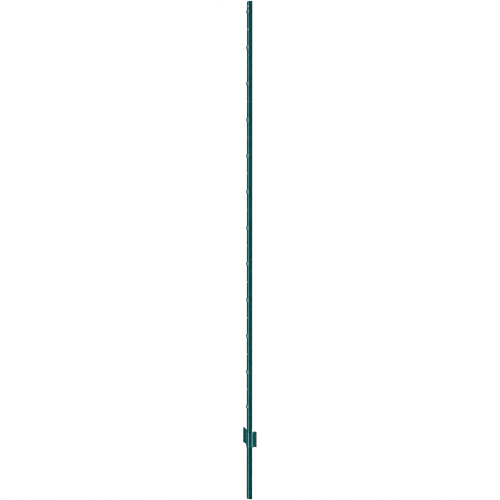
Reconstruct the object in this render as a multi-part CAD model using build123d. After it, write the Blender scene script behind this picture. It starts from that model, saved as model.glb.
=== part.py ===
from build123d import *
import os
from math import cos, radians, sin, tan

# A steel fence post: a roll-formed channel with pierced wire lugs, and an anchor plate near its lower end.
# Millimetres. The crown's outer face lies on Y = 0 and faces -Y, the post stands along Z, its lower end is at Z = 0.

# Channel: one strip of sheet, a flat crown with a flared wall on each side
post_height = 2100.0
channel_sheet = 1.6
crown_width = 12.0  # between the points where the faces of crown and walls would meet
wall_length = 16.2  # from such a point to the wall's free edge, along its outer face
wall_flare = 40.0  # degrees that each wall leans outwards from straight back
crown_bend = 4.0  # outer radius between crown and wall

# Wire lugs: strips between two slits, pushed out of the crown to a blunt point, with both ends still attached
first_lug_drop = 44.0  # from the upper end to the first lug's middle
lug_pitch = 152.0
lug_count = 12
last_lug_gap = 146.0  # the lowest gap is shorter than the pitch
lug_strip = 7.0  # between the two slits
lug_height = 24.0  # of the pushed out part
lug_foot = 1.5  # level part of the strip at each end of the slits
lug_reach = 7.3  # from the crown's outer face to where the point's two slopes would meet
lug_foot_bend = 1.2  # inside radius where the strip leaves the crown
lug_point_bend = 2.4  # outer radius of the point

# Holes along the middle of the crown
bolt_hole = 9.5  # diameter of the two near the upper end
tie_hole = 6.4  # diameter of those between the lugs below

# Anchor plate: one stamped sheet, a hat over the crown and a flat wing on each side
plate_sheet = 1.6
plate_width = 88.0
plate_height = 65.0
plate_level = 216.0  # the hat's lower edge, above the post's lower end
wing_rise = 9.3  # how much higher the wings stand than the hat
hat_level = 35.0  # width of the level middle of the upper and lower edges
wing_level = 13.5  # width of each wing's own level part, from its tip to where its edges slant to the hat
plate_gap = 0.3  # between the hat's walls and the channel's
wing_root_bend = 6.5  # inside radius where the hat's wall turns into the wing
wing_sweep = 0.9  # how much further back each wing's tip stands than its root
wing_corner = 1.5  # rounding of the wings' four corners
weld_mark = 5.0  # diameter of the two dished marks on the hat
weld_mark_depth = 0.3
weld_spread = 36.0  # between their middles

# Worked out from the sizes above
flare = radians(wall_flare)
crown_corner = (crown_width / 2, 0)
channel_depth = wall_length * cos(flare) + channel_sheet * sin(flare)
tip_face = channel_depth - plate_sheet  # the tips' backs lie level with the channel's free edges
root_face = tip_face - wing_sweep
plate_middle = plate_level + plate_height / 2


def mirrored(right_half):
    """Points from the middle outwards, joined to their mirror image on the left."""
    return [(-x, y) for x, y in reversed(right_half)] + list(right_half)


def bent_sheet(points, bends, sheet, grows):
    """Section of a sheet with one face along the points, a bend radius at each inner one, growing to one side."""
    with BuildSketch() as section:
        with BuildLine():
            FilletPolyline(*points, radius=bends)
            offset(amount=sheet, side=grows)
        make_face()
    return section.sketch


def lug_levels():
    """Height of each wire lug's middle, from the upper end down."""
    first = post_height - first_lug_drop
    even = [first - lug_pitch * n for n in range(lug_count - 1)]
    return even + [even[-1] - last_lug_gap]


def midway(levels):
    """The height midway between each two neighbours."""
    return [(above + below) / 2 for above, below in zip(levels, levels[1:])]


def bolt_hole_levels():
    """Midway between the upper end and the first lug, and midway between the first two lugs."""
    return midway([post_height] + lug_levels())[:2]


def tie_hole_levels():
    """Midway between each two lugs below that."""
    return midway(lug_levels())[1:]


def channel_blank():
    """The roll-formed channel, cut to length and not yet pierced."""
    free_edge = (crown_corner[0] + wall_length * sin(flare), wall_length * cos(flare))
    outline = mirrored([crown_corner, free_edge])
    return extrude(bent_sheet(outline, crown_bend, channel_sheet, Side.LEFT), post_height)


def crown_holes(diameter, levels):
    """Cutters straight through the crown."""
    cutter = Cylinder(diameter / 2, 4 * channel_sheet, rotation=(90, 0, 0))
    return [Pos(0, 0, level) * cutter for level in levels]


def lug_windows():
    """The pieces of crown that the lugs' strips are taken from, slit to slit."""
    window = Box(lug_strip, 4 * channel_sheet, lug_height + 2 * lug_foot)
    return [Pos(0, 0, level) * window for level in lug_levels()]


def lugs():
    """The strips, pushed out to a blunt point, each with two ends that run on level into the crown."""
    foot = lug_height / 2
    end = foot + lug_foot
    side_view = [(0, -end), (0, -foot), (-lug_reach, 0), (0, foot), (0, end)]
    bends = [lug_foot_bend, lug_point_bend, lug_foot_bend]
    strip = Plane.YZ * bent_sheet(side_view, bends, channel_sheet, Side.RIGHT)
    lug = extrude(strip, lug_strip / 2, both=True)
    return [Pos(0, 0, level) * lug for level in lug_levels()]


def post_channel():
    """The whole channel, with its holes and its lugs."""
    cutters = crown_holes(bolt_hole, bolt_hole_levels()) + crown_holes(tie_hole, tie_hole_levels())
    pierced = channel_blank() - (cutters + lug_windows())
    return pierced + lugs()


def plate_section():
    """Section of the anchor plate: its front face runs over the hat, down its walls and out along the wings."""
    hat = (crown_corner[0] + (plate_gap + plate_sheet * (1 - sin(flare))) / cos(flare), -plate_sheet)
    root = (hat[0] + (root_face + plate_sheet) * tan(flare), root_face)
    tip = (plate_width / 2, tip_face)
    hat_bend = crown_bend + plate_sheet
    bends = [wing_root_bend, hat_bend, hat_bend, wing_root_bend]
    return bent_sheet(mirrored([hat, root, tip]), bends, plate_sheet, Side.LEFT)


def plate_outline():
    """Front view of the plate: level at the hat, slanting up along each wing's root, and level again to its tip."""
    high = plate_level + wing_rise
    slant_end = plate_width / 2 - wing_level
    lower_edge = [(hat_level / 2, plate_level), (slant_end, high), (plate_width / 2, high)]
    upper_edge = [(x, z + plate_height) for x, z in lower_edge]
    outline = Plane.XZ * make_face(Polyline(*mirrored(lower_edge), *reversed(mirrored(upper_edge)), close=True))
    corners = outline.vertices().group_by(Axis.X)
    return fillet(corners[0] + corners[-1], wing_corner)


def weld_marks():
    """Shallow round dishes in the hat, where it is welded to the crown, cut by the rim of a large ball."""
    half = weld_mark / 2
    ball = (half**2 + weld_mark_depth**2) / (2 * weld_mark_depth)
    ball_y = weld_mark_depth - plate_sheet - ball
    levels = [plate_middle - weld_spread / 2, plate_middle + weld_spread / 2]
    return [Pos(0, ball_y, level) * Sphere(ball) for level in levels]


def anchor_plate():
    """The stamped plate: its section along the post, trimmed to its outline."""
    strip = Pos(0, 0, plate_level) * extrude(plate_section(), plate_height + wing_rise)
    window = extrude(plate_outline(), plate_width, both=True)
    return (strip & window) - weld_marks()


pieces = {"post_channel": post_channel, "anchor_plate": anchor_plate}

os.makedirs("parts", exist_ok=True)
for name, build in pieces.items():
    export_step(build(), f"parts/{name}.step")
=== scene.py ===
from math import cos, radians, sin

import bpy
from mathutils import Matrix, Vector


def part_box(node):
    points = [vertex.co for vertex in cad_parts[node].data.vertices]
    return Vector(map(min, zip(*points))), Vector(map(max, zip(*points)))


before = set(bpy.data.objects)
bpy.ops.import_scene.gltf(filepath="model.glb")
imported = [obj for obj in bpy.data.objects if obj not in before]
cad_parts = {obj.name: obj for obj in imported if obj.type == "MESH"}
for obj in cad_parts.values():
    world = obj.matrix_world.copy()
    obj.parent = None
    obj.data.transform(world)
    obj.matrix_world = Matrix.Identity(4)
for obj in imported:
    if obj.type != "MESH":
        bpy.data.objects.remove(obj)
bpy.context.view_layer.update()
postLow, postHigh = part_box("post_channel")
plateLow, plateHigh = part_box("anchor_plate")
postHeight = postHigh.z - postLow.z
print("frame loaded, post height", round(postHeight, 4))


# Shader maths: a Wire is one socket's value, and arithmetic on it adds Math nodes
class Wire:
    def __init__(self, tree, socket):
        self.tree = tree
        self.socket = socket

    def maths(self, operation, *values):
        return self.tree.add("ShaderNodeMath", {"operation": operation}, dict(enumerate(values)))

    def __add__(self, other):
        return self.maths("ADD", self, other)

    def __sub__(self, other):
        return self.maths("SUBTRACT", self, other)

    def __rsub__(self, other):
        return self.maths("SUBTRACT", other, self)

    def __mul__(self, other):
        return self.maths("MULTIPLY", self, other)

    __radd__ = __add__
    __rmul__ = __mul__

    def smooth(self, low, high):  # 0 below low, 1 above high, an S between
        settings = {"interpolation_type": "SMOOTHSTEP"}
        return self.tree.add("ShaderNodeMapRange", settings, {0: self, 1: low, 2: high, 3: 0.0, 4: 1.0})


class Tree:
    def __init__(self, owner):
        owner.use_nodes = True
        self.nodes = owner.node_tree.nodes
        self.links = owner.node_tree.links
        self.nodes.clear()

    def add(self, kind, settings, inputs, output=0):  # a node with its settings first, then its sockets
        node = self.nodes.new(kind)
        for name, value in settings.items():
            setattr(node, name, value)
        for key, value in inputs.items():
            if isinstance(value, Wire):
                self.links.new(value.socket, node.inputs[key])
            else:
                node.inputs[key].default_value = value
        return Wire(self, node.outputs[output]) if len(node.outputs) else None

    def mix(self, factor, first, second):  # colours, by a factor between 0 and 1
        return self.add("ShaderNodeMix", {"data_type": "RGBA"}, {0: factor, 6: first, 7: second}, output=2)

    def noise(self, place, scale, detail=3.0, roughness=0.55):
        inputs = {"Vector": place, "Scale": scale, "Detail": detail, "Roughness": roughness}
        return self.add("ShaderNodeTexNoise", {}, inputs)

    def patches(self, place, scale, detail, low, high):  # noise with its level parts flattened to 0 and 1
        return self.noise(place, scale, detail).smooth(low, high)


def placeOf(tree, stretch=(1, 1, 1)):  # the piece's own coordinates in metres, stretched on each axis
    place = tree.add("ShaderNodeTexCoord", {}, {}, output=3)
    return tree.add("ShaderNodeMapping", {}, {"Vector": place, "Scale": stretch})


# Green enamel on rolled steel. Sizes of noise are in waves for each metre, depths in metres
enamel = {
    "deep": (0.0004, 0.0595, 0.0535, 1),
    "thin": (0.0010, 0.0770, 0.0700, 1),  # where the coat lies thinner
    "thinness": 0.8,
    "dust": (0.009, 0.105, 0.098, 1),
    "dusty": {"post": 0.12, "plate": 0.2},
    # paler rubbed paint at the edges and the driven end; the same lighter colour on the lug tips is a
    # painted highlight
    "rubbedPaintAndLugHighlight": (0.060, 0.270, 0.255, 1),
    "edge": 0.0012,  # how far in from an edge the coat is rubbed
    "drivenEnd": 0.005,
    "lugTip": 0.0030,  # how far out from the crown a lug begins to be painted lighter, as a painted highlight
    # how strongly the lug tips are painted lighter: a painted highlight
    "lugHighlight": 1.0,
    "postEdgeWear": 0.3,
    "wingEdgeWear": 0.25,
    "wearAndHighlightLeast": 0.4,  # in the patches where the rubbing and the lugs' painted highlight are least
    "metallic": 0.0,
    "specular": 1.0,
    "specularTint": (0.39, 0.90, 1.0, 1),
    "ior": {"post": 1.55, "plate": 1.7},
    "roughness": (0.20, 0.28),
    # patches: size, detail, and the noise's values that count as none and all
    "mottle": (38.0, 3.0, 0.35, 0.7),
    "clouds": (7.0, 2.0, 0.4, 0.75),
    "wearAndHighlightPatches": (210.0, 3.0, 0.3, 0.65),
    "nibs": (1300.0, 0.0, 0.77, 0.84),  # dust grains under the coat
    "nibDepth": 0.000012,
    "peel": (520.0, 1.0),  # orange peel: size and detail
    "peelDepth": 0.00002,
    "rolls": (900.0, 2.0),  # fine lines along the post, from the rolls
    "rollStretch": (1, 1, 0.02),
    "rollDepth": 0.00001,
}


def wearAndHighlightZones(piece):  # axis, where the wear (on the lugs, the painted highlight) starts, where it is full, how much
    edge, tip, end = enamel["edge"], enamel["lugTip"], enamel["drivenEnd"]
    if piece == "post":
        amount = enamel["postEdgeWear"]
        return [
            # lugs painted lighter towards their points: a painted highlight, not wear
            (1, -tip, postLow.y, enamel["lugHighlight"]),
            (1, postHigh.y - edge, postHigh.y, amount),
            (2, postHigh.z - end, postHigh.z, amount),
        ]
    amount = enamel["wingEdgeWear"]
    return [(0, plateLow.x + edge, plateLow.x, amount), (0, plateHigh.x - edge, plateHigh.x, amount)]


def wearAndHighlightAt(tree, place, piece):  # how far the coat is rubbed, and how strong the lugs' painted highlight is, 0 to 1
    wearAndHighlight = 0.0
    for axis, start, full, amount in wearAndHighlightZones(piece):
        along = tree.add("ShaderNodeSeparateXYZ", {}, {"Vector": place}, output=axis)
        wearAndHighlight = along.smooth(start, full) * amount + wearAndHighlight
    least = enamel["wearAndHighlightLeast"]
    return wearAndHighlight * (tree.patches(place, *enamel["wearAndHighlightPatches"]) * (1 - least) + least)


def enamelPaint(piece):
    material = bpy.data.materials.new(piece + "Enamel")
    tree = Tree(material)
    place = placeOf(tree)
    mottle = tree.patches(place, *enamel["mottle"])
    clouds = tree.patches(place, *enamel["clouds"])
    nibs = tree.patches(place, *enamel["nibs"])
    wearAndHighlight = wearAndHighlightAt(tree, place, piece)
    colour = tree.mix(mottle * enamel["thinness"], enamel["deep"], enamel["thin"])
    colour = tree.mix(clouds * enamel["dusty"][piece], colour, enamel["dust"])
    # edges and ends rubbed paler, and lug tips painted lighter as a painted highlight
    colour = tree.mix(wearAndHighlight, colour, enamel["rubbedPaintAndLugHighlight"])
    low, high = enamel["roughness"]
    roughness = (mottle + clouds + wearAndHighlight) * ((high - low) / 2) + low
    peel = tree.noise(place, *enamel["peel"])
    rolls = tree.noise(placeOf(tree, enamel["rollStretch"]), *enamel["rolls"])
    height = peel * enamel["peelDepth"] + rolls * enamel["rollDepth"] + nibs * enamel["nibDepth"]
    normal = tree.add("ShaderNodeBump", {}, {"Strength": 1.0, "Distance": 1.0, "Height": height})
    paint = tree.add("ShaderNodeBsdfPrincipled", {}, {
        "Base Color": colour,
        "Roughness": roughness,
        "Metallic": enamel["metallic"],
        "Specular IOR Level": enamel["specular"],
        "Specular Tint": enamel["specularTint"],
        "IOR": enamel["ior"][piece],
        "Normal": normal,
    })
    tree.add("ShaderNodeOutputMaterial", {}, {"Surface": paint})
    return material


def dress(node, material):
    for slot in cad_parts[node].material_slots:
        slot.material = material


dress("post_channel", enamelPaint("post"))
dress("anchor_plate", enamelPaint("plate"))
print("paint done")


# Studio: white all round for the eye, dim for everything else, so that only the boxes show in the gloss
studio = {
    "seen": 1.0,
    "room": 0.012,
    "floorHalf": 30.0,
    # each soft box: azimuth, height, distance, size across and up, power
    "boxes": {
        "key": (2.0, 0.75, 6.0, (5.4, 9.0), 657.0),
        "side": (104.0, 1.6, 4.0, (2.0, 4.0), 34.0),
        "left": (-98.0, 1.2, 4.0, (1.5, 6.0), 60.0),
        "back": (155.0, 1.6, 4.5, (2.4, 4.0), 105.0),
        "rear": (-136.0, 1.3, 4.5, (0.9, 4.5), 70.0),
    },
    "topHeight": 5.0,
    "topSize": (3.0, 3.0),
    "topPower": 60.0,
}


def whiteForTheEye(tree, kind):
    eye = tree.add("ShaderNodeLightPath", {}, {}, output=0)
    dim = (studio["room"],) * 3 + (1,)
    return tree.add(kind, {}, {"Color": tree.mix(eye, dim, (1, 1, 1, 1)), "Strength": studio["seen"]})


def makeRoom():
    world = bpy.data.worlds.new("room")
    bpy.context.scene.world = world
    tree = Tree(world)
    tree.add("ShaderNodeOutputWorld", {}, {"Surface": whiteForTheEye(tree, "ShaderNodeBackground")})


def makeFloor():
    half = studio["floorHalf"]
    corners = [(-half, -half, 0), (half, -half, 0), (half, half, 0), (-half, half, 0)]
    mesh = bpy.data.meshes.new("floor")
    mesh.from_pydata(corners, [], [(0, 1, 2, 3)])
    floor = bpy.data.objects.new("floor", mesh)
    bpy.context.collection.objects.link(floor)
    material = bpy.data.materials.new("floorWhite")
    tree = Tree(material)
    tree.add("ShaderNodeOutputMaterial", {}, {"Surface": whiteForTheEye(tree, "ShaderNodeEmission")})
    mesh.materials.append(material)
    floor.visible_glossy = floor.visible_diffuse = floor.visible_shadow = False  # it is only a backdrop


def turned(azimuth):  # the level direction at this azimuth, where 0 looks at the crown from the front
    return Vector((sin(radians(azimuth)), -cos(radians(azimuth)), 0))


def facing(place, target):
    return (target - place).to_track_quat("-Z", "Y").to_matrix().to_4x4()


def softBox(name, place, target, size, power):
    light = bpy.data.lights.new(name, "AREA")
    light.shape = "RECTANGLE"
    light.size, light.size_y = size
    light.energy = power
    box = bpy.data.objects.new(name, light)
    box.matrix_world = Matrix.Translation(place) @ facing(place, target)
    box.visible_camera = False
    bpy.context.collection.objects.link(box)


makeRoom()
makeFloor()
middle = Vector((0, 0, postHeight / 2))
for name, (azimuth, height, distance, size, power) in studio["boxes"].items():
    softBox(name, turned(azimuth) * distance + Vector((0, 0, height)), middle, size, power)
overhead = Vector((0, 0, studio["topHeight"]))
softBox("top", overhead, Vector((0, 0, 0)), studio["topSize"], studio["topPower"])
print("studio done")


# Camera: level, half way up the post, to the right of its front
view = {
    "azimuth": 50.5,
    "distance": 2.49,
    "focal": 590.0,  # in pixels of the 500 pixel wide picture
    "picture": 500.0,
    "sensor": 36.0,
    "nearest": 0.05,
    "aside": 0.0102,  # how far the line of sight passes to the right of the crown's middle
    "rise": 0.0001,
    "roll": 0.03,  # degrees
    "softness": 1.1,  # of the picture's pixels
}


def makeCamera():
    camera = bpy.data.cameras.new("camera")
    camera.sensor_width = view["sensor"]
    camera.lens = view["sensor"] * view["focal"] / view["picture"]
    camera.clip_start = view["nearest"]
    holder = bpy.data.objects.new("camera", camera)
    right = turned(view["azimuth"] + 90)
    target = middle + right * view["aside"] + Vector((0, 0, view["rise"]))
    place = target + turned(view["azimuth"]) * view["distance"]
    roll = Matrix.Rotation(radians(view["roll"]), 4, "Z")
    holder.matrix_world = Matrix.Translation(place) @ facing(place, target) @ roll
    bpy.context.collection.objects.link(holder)
    bpy.context.scene.camera = holder


makeCamera()
scene = bpy.context.scene
scene.view_settings.view_transform = "Standard"
scene.view_settings.look = "None"
scene.cycles.filter_width = view["softness"]
print("camera done")

bpy.context.view_layer.update()
